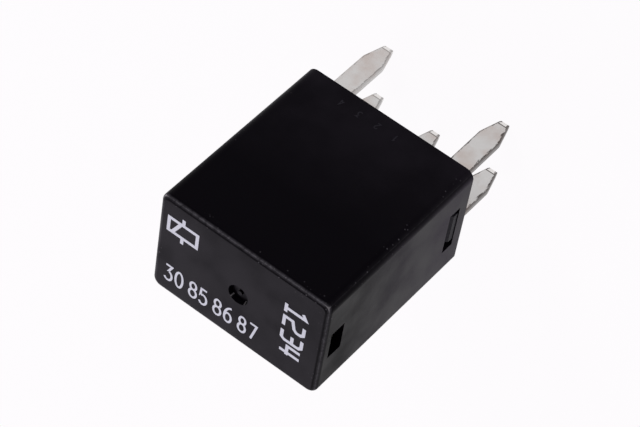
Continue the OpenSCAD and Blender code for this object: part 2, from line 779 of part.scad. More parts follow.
// The winding, with its outer layer of turns side by side
module winding() {
  turns = floor((winding_h - 2 * lay_gap) / turn_w);
  pitch = (winding_h - 2 * lay_gap) / turns;
  color("#a5552c") translate([core_x, 0, winding_z + lay_gap]) rotate_extrude() {
    translate([tube_d / 2 + lay_gap, 0])
      square([winding_d / 2 - pitch / 2 - tube_d / 2 - lay_gap, winding_h - 2 * lay_gap]);
    for (i = [0 : turns - 1])
      translate([winding_d / 2 - pitch / 2, pitch * (i + 0.5)]) circle(d = pitch, $fn = 16);
  }
}

// A lead: a last stretch round the winding, straight across to its post, and the wraps round the post
module lead_wire(post_x, side, z) {
  winding_r = winding_d / 2 + lead_d / 2 + lay_gap;
  wrap_r = norm([post_w, blade_t]) / 2 + lead_d / 2 + 0.03;
  arc = [for (a = [-40 : 8 : 0]) [core_x + side * winding_r * sin(a), winding_r * cos(a), z]];
  steps = 12;
  helix = [for (k = [0 : wraps * steps]) let (a = 360 * k / steps)
    [post_x + side * wrap_r * sin(a), back_y + wrap_r * cos(a), z + wrap_rise * k / steps]];
  color("#b8642f") wire(concat(arc, helix), lead_d);
}

module lead_wire_86() {
  lead_wire(-grid_x + post_in, -1, low_lead_z);
}

module lead_wire_85() {
  lead_wire(grid_x - post_in, 1, high_lead_z);
}

// Solder over the end of a post, from the last wrap of the lead that starts at height z up over the tip
module solder(post_x, z) {
  wrap_top = z + wraps * wrap_rise + lead_d / 2 + 0.05;
  r = norm([post_w, blade_t]) / 2 + solder_t;
  color("#d3d4d6") difference() {
    translate([post_x, back_y, wrap_top]) {
      cylinder(h = post_z - wrap_top, r = r);
      intersection() {
        translate([0, 0, post_z - wrap_top]) scale([1, 1, 0.5]) sphere(r);
        cylinder(h = 2 * post_h, r = r);
      }
    }
    translate([post_x - post_w / 2 - lay_gap, back_y - blade_t / 2 - lay_gap, 0])
      cube([post_w + 2 * lay_gap, blade_t + 2 * lay_gap, post_z + lay_gap]);
  }
}

module solder_86() {
  solder(-grid_x + post_in, low_lead_z);
}

module solder_85() {
  solder(grid_x - post_in, high_lead_z);
}

cover();
base();
terminal_30();
terminal_85();
terminal_86();
terminal_87();
terminal_87a();
contact_87();
contact_87a();
moving_contact();
contact_spring();
armature();
yoke();
core();
bobbin();
winding();
lead_wire_85();
lead_wire_86();
solder_85();
solder_86();
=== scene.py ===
import json
import math

import bmesh
import bpy
from bpy.props import FloatProperty, FloatVectorProperty, IntProperty, PointerProperty, StringProperty
from mathutils import Matrix, Vector
from mathutils.geometry import delaunay_2d_cdt, intersect_point_quad_2d


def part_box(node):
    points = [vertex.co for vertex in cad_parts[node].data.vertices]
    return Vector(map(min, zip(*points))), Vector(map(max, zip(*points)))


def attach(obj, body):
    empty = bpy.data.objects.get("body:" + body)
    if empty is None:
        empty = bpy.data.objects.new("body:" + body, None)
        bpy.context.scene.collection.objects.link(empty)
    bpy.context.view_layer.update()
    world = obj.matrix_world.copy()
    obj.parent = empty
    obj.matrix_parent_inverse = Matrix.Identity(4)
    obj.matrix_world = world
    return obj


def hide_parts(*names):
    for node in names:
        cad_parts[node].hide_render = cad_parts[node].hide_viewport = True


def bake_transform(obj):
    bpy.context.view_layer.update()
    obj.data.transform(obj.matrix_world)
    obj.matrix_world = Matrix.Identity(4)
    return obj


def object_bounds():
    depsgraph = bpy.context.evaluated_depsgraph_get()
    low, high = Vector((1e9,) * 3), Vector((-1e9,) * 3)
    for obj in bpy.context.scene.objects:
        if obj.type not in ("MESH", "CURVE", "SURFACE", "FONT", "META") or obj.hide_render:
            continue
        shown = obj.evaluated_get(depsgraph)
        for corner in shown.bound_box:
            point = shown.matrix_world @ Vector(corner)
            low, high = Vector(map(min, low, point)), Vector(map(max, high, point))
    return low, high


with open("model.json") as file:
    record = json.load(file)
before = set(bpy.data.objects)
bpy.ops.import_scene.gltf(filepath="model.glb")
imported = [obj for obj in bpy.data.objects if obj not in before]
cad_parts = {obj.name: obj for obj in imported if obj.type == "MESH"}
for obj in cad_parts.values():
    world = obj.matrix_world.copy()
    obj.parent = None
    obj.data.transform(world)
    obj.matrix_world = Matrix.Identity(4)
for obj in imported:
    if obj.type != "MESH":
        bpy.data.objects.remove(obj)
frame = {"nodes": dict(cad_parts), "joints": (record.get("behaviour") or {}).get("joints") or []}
cad_low, cad_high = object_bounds()

bl_info = {
    "name": "Changeover Relay Dresser",
    "version": (1, 0, 0),
    "blender": (4, 5, 0),
    "location": "View3D > Sidebar > Relay",
    "description": "Gives a five-blade changeover relay its mouldings, plating, marks and studio",
    "category": "Object",
}

MM = 0.001
BACKGROUND = "#fffdff"
# Of PBT, in the cover, its marks and the base
MOULDED_IOR = 1.5
case_low, case_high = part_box("cover")
blade_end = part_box("terminal_85")[0].z


# ---------- colours and small tools ----------


def linear(code):
    """Turns an sRGB hex colour into linear red, green and blue."""
    channels = [int(code[i : i + 2], 16) / 255 for i in (1, 3, 5)]
    return [c / 12.92 if c <= 0.04045 else ((c + 0.055) / 1.055) ** 2.4 for c in channels]


def rgba(colour):
    return (*colour, 1.0)


def colour_property(name, description, code):
    """A colour setting whose default is an sRGB hex colour."""
    return FloatVectorProperty(
        name=name, description=description, default=linear(code), subtype="COLOR", size=3, min=0, max=1
    )


def length_property(name, description, millimetres):
    """A length setting whose default is given in millimetres. Blender keeps it in metres."""
    return FloatProperty(
        name=name, description=description, default=millimetres * MM, subtype="DISTANCE", unit="LENGTH",
        precision=5,
    )


def stretch_property(name, default):
    """A setting that makes digits wider or narrower than their usual shape."""
    return FloatProperty(
        name=name, description="Width against the digits' usual width", default=default, min=0.3, max=2
    )


def per_mm(millimetres):
    """The texture scale at which one cell of a pattern is this wide."""
    return 1 / (millimetres * MM)


def add_node(tree, kind, sockets=None, output=0, **settings):
    """Adds a node and returns one of its outputs. A socket takes a value, or another node's output."""
    node = tree.nodes.new("ShaderNode" + kind)
    for name, value in settings.items():
        setattr(node, name, value)
    for key, value in (sockets or {}).items():
        if isinstance(value, bpy.types.NodeSocket):
            tree.links.new(value, node.inputs[key])
        else:
            node.inputs[key].default_value = value
    return node.outputs[output]


def new_material(name, colour, roughness, **constants):
    """A material with one Principled shader, its constants set on the shader's own sockets."""
    material = bpy.data.materials.new(name)
    material.use_nodes = True
    shader = material.node_tree.nodes["Principled BSDF"]
    shader.inputs["Base Color"].default_value = rgba(colour)
    shader.inputs["Roughness"].default_value = roughness
    for key, value in constants.items():
        shader.inputs[key.replace("_", " ")].default_value = value
    material.diffuse_color = rgba(colour)
    return material, material.node_tree, shader.inputs


def new_object(name, mesh):
    """An object in the scene that holds a finished bmesh."""
    data = bpy.data.meshes.new(name)
    mesh.to_mesh(data)
    mesh.free()
    made = bpy.data.objects.new(name, data)
    bpy.context.scene.collection.objects.link(made)
    return made


def dress(material, *nodes):
    """Puts a material on CAD nodes, in every slot they have."""
    for name in nodes:
        for slot in frame["nodes"][name].material_slots:
            slot.link = "OBJECT"
            slot.material = material


# ---------- materials ----------


def edge_distance(tree, position):
    """How far a point of the case's skin lies from the nearest edge of the case."""
    middle = (case_low + case_high) / 2
    half = (case_high - case_low) / 2
    place = add_node(tree, "SeparateXYZ", {0: position}).node.outputs
    inward = []
    for axis in range(2):
        offset = add_node(tree, "Math", {0: place[axis], 1: middle[axis]}, operation="SUBTRACT")
        spread = add_node(tree, "Math", {0: offset}, operation="ABSOLUTE")
        inward.append(add_node(tree, "Math", {0: half[axis], 1: spread}, operation="SUBTRACT"))
    inward.append(add_node(tree, "Math", {0: case_high.z, 1: place[2]}, operation="SUBTRACT"))
    nearest = add_node(tree, "Math", {0: inward[0], 1: inward[1]}, operation="MINIMUM")
    farthest = add_node(tree, "Math", {0: inward[0], 1: inward[1]}, operation="MAXIMUM")
    second = add_node(tree, "Math", {0: farthest, 1: inward[2]}, operation="MINIMUM")
    return add_node(tree, "Math", {0: nearest, 1: second}, operation="MAXIMUM")


def cover_plastic(finish):
    """Glass-filled PBT, injection moulded: near black and satin, with a paler haze of handling grease and
    painted sheen on its narrow sides and towards the base, pale mottles of rubbing and painted highlight on
    its rounded edges, and a painted highlight on its corners.
    """
    colour = finish.cover_colour
    material, tree, shader = new_material(
        "PBT moulded cover", colour, finish.cover_roughness, IOR=MOULDED_IOR,
        Specular_IOR_Level=finish.cover_sheen, Specular_Tint=rgba(finish.sheen_colour),
    )
    position = add_node(tree, "TexCoord", output="Object")
    place = add_node(tree, "SeparateXYZ", {0: position}).node.outputs
    normal = add_node(tree, "SeparateXYZ", {0: add_node(tree, "TexCoord", output="Normal")}).node.outputs
    edge = edge_distance(tree, position)

    # A paler film in soft patches 5 mm wide, strongest on the narrow sides and towards the base: partly
    # handling film, partly painted sheen that makes those faces as light as their grazing reflection
    clouds = add_node(tree, "TexNoise", {"Vector": position, "Scale": per_mm(5), "Detail": 4.0})
    broad_face_film_and_sheen = add_node(tree, "MapRange", {0: place[2], 1: 16 * MM, 2: 0.0, 3: 0.0, 4: 0.08})
    narrow_side_film_and_sheen = add_node(tree, "MapRange", {0: place[2], 1: 21 * MM, 2: 3 * MM, 3: 0.0, 4: 0.44})
    axes = [add_node(tree, "Math", {0: normal[k]}, operation="ABSOLUTE") for k in range(3)]
    narrow = add_node(tree, "MapRange", {0: axes[0], 1: 0.8, 2: 0.98})
    film_and_sheen = add_node(tree, "Mix", {0: narrow, 2: broad_face_film_and_sheen, 3: narrow_side_film_and_sheen})
    cloudiness = add_node(tree, "MapRange", {0: clouds, 1: 0.36, 2: 0.64, 3: 0.6, 4: 1.4})
    film_and_sheen = add_node(tree, "Math", {0: film_and_sheen, 1: cloudiness}, operation="MULTIPLY")
    roughness = finish.cover_roughness
    gloss = add_node(tree, "MapRange", {0: clouds, 1: 0.35, 2: 0.65, 3: roughness - 0.08, 4: roughness + 0.1})

    # The rounded edges of the label end are paled in mottles half a millimetre wide: partly rubbed wear,
    # partly painted highlight. Its corners get a brighter painted highlight, mottled the same way. A face's
    # normal lies along an axis, an edge's between two, and a corner's between three
    widest = add_node(tree, "Math", {0: axes[0], 1: axes[1]}, operation="MAXIMUM")
    widest = add_node(tree, "Math", {0: widest, 1: axes[2]}, operation="MAXIMUM")
    rounded = add_node(tree, "MapRange", {0: widest, 1: 0.97, 2: 0.8})
    grit = add_node(
        tree, "TexNoise", {"Vector": position, "Scale": per_mm(0.5), "Detail": 6.0, "Roughness": 0.7}
    )
    rubbed_and_highlit = add_node(tree, "MapRange", {0: grit, 1: 0.35, 2: 0.65, 3: 0.25, 4: 1.0})
    outside = add_node(tree, "MapRange", {0: edge, 1: 0.3 * MM, 2: 0.8 * MM, 3: 1.0, 4: 0.0})
    upper = add_node(tree, "MapRange", {0: axes[2], 1: 0.05, 2: 0.3, 3: 0.12, 4: 1.0})
    rubbed_and_highlit = add_node(tree, "Math", {0: rubbed_and_highlit, 1: upper}, operation="MULTIPLY")
    # Painted highlight on the corners of the label end, mottled like the edges
    corner_highlight = add_node(tree, "MapRange", {0: widest, 1: 0.74, 2: 0.63})
    corner_highlight = add_node(tree, "Math", {0: corner_highlight, 1: rubbed_and_highlit}, operation="MULTIPLY")
    scuff_and_highlight = add_node(tree, "Math", {0: rounded, 1: rubbed_and_highlit}, operation="MULTIPLY")
    scuff_and_highlight = add_node(tree, "Math", {0: scuff_and_highlight, 1: outside}, operation="MULTIPLY")

    # Specks of moulding dust, a tenth of a millimetre across, in patches beside the edges
    specks = add_node(tree, "TexVoronoi", {"Vector": position, "Scale": per_mm(0.55), "Randomness": 1.0})
    dot = add_node(tree, "MapRange", {0: specks, 1: 0.08, 2: 0.2, 3: 0.7, 4: 0.0})
    beside = add_node(tree, "MapRange", {0: edge, 1: 0.5 * MM, 2: 1.3 * MM, 3: 1.0, 4: 0.0})
    patchy = add_node(tree, "TexNoise", {"Vector": position, "Scale": per_mm(2.6), "Detail": 1.0})
    chosen = add_node(tree, "MapRange", {0: patchy, 1: 0.45, 2: 0.6})
    dust = add_node(tree, "Math", {0: dot, 1: beside}, operation="MULTIPLY")
    dust = add_node(tree, "Math", {0: dust, 1: chosen}, operation="MULTIPLY")

    # Painted sheen and handling film, then the edges' wear and painted highlight, the specks, and the
    # corners' painted highlight, are mixed into the base colour
    tint = add_node(tree, "MixRGB", {0: film_and_sheen, 1: rgba(colour), 2: rgba(finish.film_and_sheen_colour)})
    # Pale mottles on the rounded edges: rubbed wear and painted highlight
    tint = add_node(tree, "MixRGB", {0: scuff_and_highlight, 1: tint, 2: rgba(finish.scuff_and_highlight_colour)})
    tint = add_node(tree, "MixRGB", {0: dust, 1: tint, 2: rgba(finish.dust_colour)})
    # The corners' painted highlight
    tint = add_node(tree, "MixRGB", {0: corner_highlight, 1: tint, 2: rgba(finish.corner_highlight_colour)})
    tree.links.new(tint, shader["Base Color"])
    tree.links.new(gloss, shader["Roughness"])
    # Spark-eroded mould skin: real grit is 0.05 mm, drawn at 0.18 mm so that it shows
    skin = add_node(tree, "TexNoise", {"Vector": position, "Scale": per_mm(0.18), "Detail": 2.0})
    bump = add_node(tree, "Bump", {"Strength": 0.25, "Distance": 0.012 * MM, "Height": skin})
    tree.links.new(bump, shader["Normal"])
    return material


def raised_plastic(finish):
    """The cover's PBT where the mould was engraved: duller and paler, as the engraver's cutter left it."""
    material, tree, shader = new_material(
        "PBT moulded marks", finish.mark_colour, roughness=0.6, IOR=MOULDED_IOR,
        Specular_IOR_Level=finish.cover_sheen,
    )
    position = add_node(tree, "TexCoord", output="Object")
    # The cutter leaves a ripple 0.15 mm wide
    ripple = add_node(tree, "TexNoise", {"Vector": position, "Scale": per_mm(0.15), "Detail": 2.0})
    bump = add_node(tree, "Bump", {"Strength": 0.3, "Distance": 0.01 * MM, "Height": ripple})
    tree.links.new(bump, shader["Normal"])
    return material


def base_plastic(finish):
    """Glass-filled PBT, injection moulded: duller than the cover, and a shade lighter, which is painted sheen
    for the latch nose seen in the cover's window.
    """
    material, tree, shader = new_material(
        "PBT moulded base", finish.base_colour, roughness=0.55, IOR=MOULDED_IOR, Specular_IOR_Level=0.12
    )
    position = add_node(tree, "TexCoord", output="Object")
    # Glass fibres under the skin make a fleck about a third of a millimetre long
    fleck = add_node(tree, "TexNoise", {"Vector": position, "Scale": per_mm(0.35), "Detail": 5.0})
    gloss = add_node(tree, "MapRange", {0: fleck, 1: 0.3, 2: 0.7, 3: 0.48, 4: 0.64})
    tree.links.new(gloss, shader["Roughness"])
    bump = add_node(tree, "Bump", {"Strength": 0.3, "Distance": 0.015 * MM, "Height": fleck})
    tree.links.new(bump, shader["Normal"])
    return material


def tinned_strip(finish):
    """Brass strip, stamped, then tin plated: satin warm grey, with lengthwise lines, a painted dark
    reflection along its edges and sides, and a painted highlight on its tips.
    """
    colour = finish.tin_colour
    material, tree, shader = new_material("Brass strip tin plated", colour, roughness=0.34, Metallic=1.0)
    position = add_node(tree, "TexCoord", output="Object")
    place = add_node(tree, "SeparateXYZ", {0: position}).node.outputs

    # Distance in from a blade's long edge: the blades stand in three columns, and narrow towards their tips
    column = finish.blade_pitch / 2
    across = add_node(tree, "Math", {0: place[0], 1: column, 2: -column}, operation="WRAP")
    spread = add_node(tree, "Math", {0: across}, operation="ABSOLUTE")
    width = add_node(tree, "MapRange", {
        0: place[2], 1: blade_end, 2: blade_end + finish.blade_taper,
        3: finish.blade_tip / 2, 4: finish.blade_width / 2,
    })
    inward = add_node(tree, "Math", {0: width, 1: spread}, operation="SUBTRACT")

    # Rolling lines run down the strip, 0.2 mm apart and some millimetres long
    stretched = add_node(tree, "Mapping", {"Vector": position, "Scale": (1.0, 1.0, 0.06)})
    lines = add_node(
        tree, "TexNoise", {"Vector": stretched, "Scale": per_mm(0.22), "Detail": 5.0, "Roughness": 0.6}
    )
    patches = add_node(tree, "TexNoise", {"Vector": position, "Scale": per_mm(2.4), "Detail": 3.0})
    warm = add_node(tree, "MapRange", {0: patches, 1: 0.4, 2: 0.65})
    tint = add_node(tree, "MixRGB", {0: warm, 1: rgba(colour), 2: rgba(finish.warm_tin_colour)})

    # A ragged dark line along each edge, up to 0.4 mm wide and wider on the +X side of each blade: a painted
    # reflection of the dark case
    ragged = add_node(tree, "Mapping", {"Vector": position, "Scale": (1.0, 1.0, 0.3)})
    ragged = add_node(
        tree, "TexNoise", {"Vector": ragged, "Scale": per_mm(0.35), "Detail": 6.0, "Roughness": 0.75}
    )
    reach = add_node(tree, "MapRange", {0: ragged, 1: 0.38, 2: 0.66, 3: 0.12 * MM, 4: 0.42 * MM})
    wider_side = add_node(tree, "MapRange", {0: across, 1: -0.2 * MM, 2: 0.2 * MM, 3: 0.7, 4: 1.0})
    reach = add_node(tree, "Math", {0: reach, 1: wider_side}, operation="MULTIPLY")
    past_dark_band = add_node(tree, "Math", {0: inward, 1: reach}, operation="SUBTRACT")
    dark_reflection = add_node(tree, "MapRange", {0: past_dark_band, 1: -0.04 * MM, 2: 0.03 * MM, 3: 0.9, 4: 0.0})
    facing = add_node(tree, "SeparateXYZ", {0: add_node(tree, "TexCoord", output="Normal")}).node.outputs
    # Painted dark reflection on the sheared sides, stronger on the contact side
    side_reflection = add_node(tree, "MapRange", {0: place[0], 1: -4 * MM, 2: 4 * MM, 3: 0.12, 4: 0.75})
    side = add_node(tree, "Math", {0: facing[0]}, operation="ABSOLUTE")
    side = add_node(tree, "MapRange", {0: side, 1: 0.5, 2: 0.8})
    shown = add_node(tree, "Mix", {0: side, 2: 1.0, 3: side_reflection})
    dark = add_node(tree, "Math", {0: dark_reflection, 1: shown}, operation="MULTIPLY")

    # The bevelled tip is painted with a highlight in a lighter tin, and the crease above it with a line of
    # painted shade
    bevel_top = blade_end + finish.blade_bevel
    bright = add_node(tree, "Math", {0: place[2], 1: bevel_top}, operation="LESS_THAN")
    # Painted highlight on the tip bevel
    tint = add_node(tree, "MixRGB", {0: bright, 1: tint, 2: rgba(finish.tip_highlight_colour)})
    crease = add_node(tree, "Math", {0: place[2], 1: bevel_top + 0.04 * MM}, operation="SUBTRACT")
    crease = add_node(tree, "Math", {0: crease}, operation="ABSOLUTE")
    crease = add_node(tree, "MapRange", {0: crease, 1: 0.04 * MM, 2: 0.11 * MM, 3: 0.9, 4: 0.0})
    dark = add_node(tree, "Math", {0: dark, 1: crease}, operation="MAXIMUM")
    # The painted dark reflection is fainter towards the yoke's side
    fade_by_column = add_node(tree, "MapRange", {0: place[0], 1: -6 * MM, 2: 6 * MM, 3: 0.55, 4: 1.0})
    dark = add_node(tree, "Math", {0: dark, 1: fade_by_column}, operation="MULTIPLY")
    # Painted dark reflection on edges and sides, and painted crease shade, mixed into the tin
    tint = add_node(tree, "MixRGB", {0: dark, 1: tint, 2: rgba(finish.dark_reflection_colour)})
    tree.links.new(tint, shader["Base Color"])
    gloss = add_node(tree, "MapRange", {0: lines, 1: 0.3, 2: 0.7, 3: 0.3, 4: 0.42})
    tree.links.new(gloss, shader["Roughness"])
    bump = add_node(tree, "Bump", {"Strength": 0.35, "Distance": 0.01 * MM, "Height": lines})
    tree.links.new(bump, shader["Normal"])
    return material


def plain_metal(name, colour, roughness, grain, stretch=(1.0, 1.0, 1.0), depth=0.004):
    """A metal whose working left a grain this many millimetres wide.

    The grain is longest along the axis with the smallest stretch, and depth is its height in millimetres.
    """
    material, tree, shader = new_material(name, colour, roughness, Metallic=1.0)
    position = add_node(tree, "TexCoord", output="Object")
    drawn = add_node(tree, "Mapping", {"Vector": position, "Scale": stretch})
    grit = add_node(
        tree, "TexNoise", {"Vector": drawn, "Scale": per_mm(grain), "Detail": 5.0, "Roughness": 0.6}
    )
    gloss = add_node(tree, "MapRange", {0: grit, 1: 0.3, 2: 0.7, 3: roughness - 0.06, 4: roughness + 0.1})
    tree.links.new(gloss, shader["Roughness"])
    patches = add_node(tree, "TexNoise", {"Vector": position, "Scale": per_mm(2.0), "Detail": 4.0})
    amount = add_node(tree, "MapRange", {0: patches, 1: 0.4, 2: 0.7, 3: 0.0, 4: 0.7})
    stained = rgba([c * 0.7 for c in colour])
    tree.links.new(add_node(tree, "MixRGB", {0: amount, 1: rgba(colour), 2: stained}), shader["Base Color"])
    bump = add_node(tree, "Bump", {"Strength": 0.4, "Distance": depth * MM, "Height": grit})
    tree.links.new(bump, shader["Normal"])
    return material


def bobbin_plastic(finish):
    """Glass-filled nylon, injection moulded: slate blue, slightly waxy, with faint flow marks."""
    colour = finish.bobbin_colour
    material, tree, shader = new_material("Nylon moulded bobbin", colour, roughness=0.45, IOR=1.53)
    position = add_node(tree, "TexCoord", output="Object")
    flow = add_node(
        tree, "TexNoise", {"Vector": position, "Scale": per_mm(1.6), "Detail": 3.0, "Distortion": 1.5}
    )
    pale = rgba([c * 1.5 for c in colour])
    tree.links.new(add_node(tree, "MixRGB", {0: flow, 1: rgba(colour), 2: pale}), shader["Base Color"])
    skin = add_node(tree, "TexNoise", {"Vector": position, "Scale": per_mm(0.2), "Detail": 2.0})
    bump = add_node(tree, "Bump", {"Strength": 0.3, "Distance": 0.01 * MM, "Height": skin})
    tree.links.new(bump, shader["Normal"])
    return material


def enamelled_wire(finish):
    """Copper wire, drawn and enamelled: a clear glossy coat over copper, its tone wandering by the turn."""
    colour = finish.wire_colour
    material, tree, shader = new_material(
        "Copper wire enamelled", colour, roughness=0.35, Metallic=1.0,
        Coat_Weight=0.8, Coat_Roughness=0.12, Coat_IOR=1.55,
    )
    position = add_node(tree, "TexCoord", output="Object")
    flat = add_node(tree, "Mapping", {"Vector": position, "Scale": (0.3, 0.3, 1.0)})
    tone = add_node(tree, "TexNoise", {"Vector": flat, "Scale": per_mm(0.8), "Detail": 3.0})
    deep = rgba([colour[0] * 0.6, colour[1] * 0.45, colour[2] * 0.4])
    tree.links.new(add_node(tree, "MixRGB", {0: tone, 1: rgba(colour), 2: deep}), shader["Base Color"])
    return material


def pad_ink(finish):
    """White two-part ink, pad printed: flat, a little blue, and thin in tiny patches where the pad lifted."""
    colour = finish.ink_colour
    material, tree, shader = new_material(
        "Pad printing ink", colour, roughness=0.5, IOR=1.45, Specular_IOR_Level=0.3
    )
    position = add_node(tree, "TexCoord", output="Object")
    lift = add_node(
        tree, "TexNoise", {"Vector": position, "Scale": per_mm(0.22), "Detail": 4.0, "Roughness": 0.65}
    )
    thin = add_node(tree, "MapRange", {0: lift, 1: 0.55, 2: 0.75, 3: 0.0, 4: 0.45})
    tint = add_node(tree, "MixRGB", {0: thin, 1: rgba(colour), 2: rgba(finish.thin_ink_colour)})
    tree.links.new(tint, shader["Base Color"])
    return material


# ---------- strokes for numbers and signs ----------

# The smallest cosine that a corner's mitre is worked out with, so that a sharp corner makes no spike
SHARPEST_MITRE = 0.35
# Corners closer than this many millimetres become one
WELD = 1e-5


def arc(x, y, rx, ry, start, stop, steps=10):
    """Points along part of an ellipse, from one angle to another in degrees."""
    angles = [math.radians(start + (stop - start) * k / steps) for k in range(steps + 1)]
    return [(x + rx * math.cos(a), y + ry * math.sin(a)) for a in angles]


def ring(x, y, rx, ry):
    """A whole ellipse, as a closed path."""
    return arc(x, y, rx, ry, 90, 450, steps=24)[:-1] + ["closed"]


def digit_strokes(digit):
    """The middle lines of a digit's strokes, in a cell half as wide as it is high."""
    return {
        "0": [ring(0.25, 0.5, 0.25, 0.5)],
        "1": [[(0.08, 0.8), (0.27, 1.0), (0.27, 0.0)]],
        "2": [arc(0.25, 0.74, 0.24, 0.26, 170, -35) + [(0.0, 0.0), (0.5, 0.0)]],
        "3": [[(0.03, 1.0), (0.46, 1.0), (0.22, 0.61)] + arc(0.22, 0.31, 0.27, 0.3, 80, -150)],
        "4": [[(0.36, 0.0), (0.36, 1.0), (0.0, 0.27), (0.5, 0.27)]],
        "5": [[(0.45, 1.0), (0.07, 1.0), (0.03, 0.56)] + arc(0.22, 0.32, 0.27, 0.32, 125, -150)],
        "6": [ring(0.25, 0.3, 0.24, 0.3), arc(0.5, 0.35, 0.49, 0.66, 185, 95)],
        "7": [[(0.02, 1.0), (0.48, 1.0), (0.17, 0.0)]],
        "8": [ring(0.25, 0.765, 0.21, 0.235), ring(0.25, 0.27, 0.25, 0.27)],
        "9": [ring(0.25, 0.7, 0.24, 0.3), arc(0.0, 0.65, 0.49, 0.66, 5, -85)],
    }[digit]


def block_strokes(digit):
    """The same for squared digits with cut corners, as a date wheel prints them."""
    left = [(0.1, 1.0), (0.0, 0.86), (0.0, 0.14), (0.1, 0.0)]
    right = [(0.4, 0.0), (0.5, 0.14), (0.5, 0.86), (0.4, 1.0)]
    top = [(0.0, 1.0), (0.4, 1.0), (0.5, 0.86)]
    hook = [(0.0, 0.54), (0.4, 0.54), (0.5, 0.42), (0.5, 0.14), (0.4, 0.0)]
    return {
        "0": [left + right + ["closed"]],
        "1": [[(0.04, 0.84), (0.27, 1.0), (0.27, 0.0)], [(0.04, 0.0), (0.5, 0.0)]],
        "2": [top + [(0.5, 0.66), (0.4, 0.53), (0.0, 0.42), (0.0, 0.0), (0.5, 0.0)]],
        "3": [top + [(0.5, 0.14), (0.4, 0.0), (0.0, 0.0)], [(0.12, 0.52), (0.5, 0.52)]],
        "4": [[(0.0, 1.0), (0.0, 0.36), (0.5, 0.36)], [(0.36, 1.0), (0.36, 0.0)]],
        "5": [[(0.5, 1.0), (0.0, 1.0)] + hook + [(0.0, 0.0)]],
        "6": [[(0.5, 1.0)] + left + hook[:0:-1] + [(0.0, 0.54)]],
        "7": [[(0.0, 1.0), (0.5, 1.0), (0.5, 0.8), (0.2, 0.0)]],
        "8": [left + right + ["closed"], [(0.0, 0.52), (0.5, 0.52)]],
        "9": [[(0.0, 0.0)] + right + [(0.1, 1.0), (0.0, 0.86), (0.0, 0.6), (0.1, 0.46), (0.5, 0.46)]],
    }[digit]


def coil_sign():
    """The circuit sign of a relay's coil: a box with a slash and a lead from each long side."""
    return [
        [(0.0, 0.24), (1.0, 0.24), (1.0, 0.76), (0.0, 0.76), "closed"],
        [(0.14, 0.24), (0.42, 0.76)],
        [(0.5, 0.0), (0.5, 0.24)],
        [(0.5, 0.76), (0.5, 1.0)],
    ]


def offset_points(points, closed, distance):
    """A line drawn beside a path at a distance from it, mitred at the corners."""
    shifted = []
    count = len(points)
    for i, point in enumerate(points):
        before = points[i - 1] if closed or i > 0 else None
        after = points[(i + 1) % count] if closed or i < count - 1 else None
        directions = []
        if before is not None:
            directions.append((point - before).normalized())
        if after is not None:
            directions.append((after - point).normalized())
        along = sum(directions, Vector((0, 0))).normalized()
        across = Vector((-along.y, along.x))
        mitre = max(along.dot(directions[0]), SHARPEST_MITRE)
        shifted.append(point + across * distance / mitre)
    return shifted


def on_face(origin, right, up):
    """A placing function for a flat face: millimetres right and up from an origin, and metres out of it."""
    right, up = Vector(right), Vector(up)
    out = right.cross(up)
    return lambda x, y, z: origin + (right * x + up * y) * MM + out * z


def strokes_mesh(name, strokes, width, height, place):
    """A slab in the shape of the strokes, merged where they cross.

    The strokes are in millimetres, and the width and height in metres. place turns a flat point and a height
    into a point of the part's frame.
    """
    quads = []
    for path in strokes:
        closed = path[-1] == "closed"
        points = [Vector(p) for p in (path[:-1] if closed else path)]
        right, left = (offset_points(points, closed, side * width / MM / 2) for side in (-1, 1))
        for i in range(len(points) if closed else len(points) - 1):
            j = (i + 1) % len(points)
            quads.append((right[i], right[j], left[j], left[i]))
    corners = [corner for quad in quads for corner in quad]
    outlines = [(k, k + 1 if k % 4 < 3 else k - 3) for k in range(len(corners))]
    corners, _, triangles, *_ = delaunay_2d_cdt(corners, outlines, [], 0, WELD)
    middles = [(corners[a] + corners[b] + corners[c]) / 3 for a, b, c in triangles]
    triangles = [
        triangle for triangle, middle in zip(triangles, middles)
        if any(intersect_point_quad_2d(middle, *quad) for quad in quads)
    ]

    mesh = bmesh.new()
    levels = [[mesh.verts.new(place(p.x, p.y, level)) for p in corners] for level in (0.0, height)]
    low, high = levels
    sides = {(t[i], t[(i + 1) % 3]) for t in triangles for i in range(3)}
    for triangle in triangles:
        mesh.faces.new([high[i] for i in triangle])
        mesh.faces.new([low[i] for i in reversed(triangle)])
    for i, j in sides:
        if (j, i) not in sides:
            mesh.faces.new((low[i], low[j], high[j], high[i]))
    bmesh.ops.delete(mesh, geom=[v for v in mesh.verts if not v.link_faces], context="VERTS")
    bmesh.ops.recalc_face_normals(mesh, faces=mesh.faces)
    return new_object(name, mesh)


def moved(path, x, y, size, widen=1.0):
    """A path of a cell one high, scaled and then shifted, in millimetres."""
    return [p if p == "closed" else (x + p[0] * size * widen, y + p[1] * size) for p in path]


def line_of_digits(text, height, pitch, widen, shapes=digit_strokes):
    """The strokes of a line of digits, in millimetres from its lower left corner.

    A space is a third as wide as the pitch. Height and pitch are in metres.
    """
    strokes, x = [], 0.0
    for letter in text:
        if letter == " ":
            x += pitch / MM / 3
            continue
        strokes += [moved(path, x, 0.0, height / MM, widen) for path in shapes(letter)]
        x += pitch / MM
    return strokes


# ---------- settings ----------


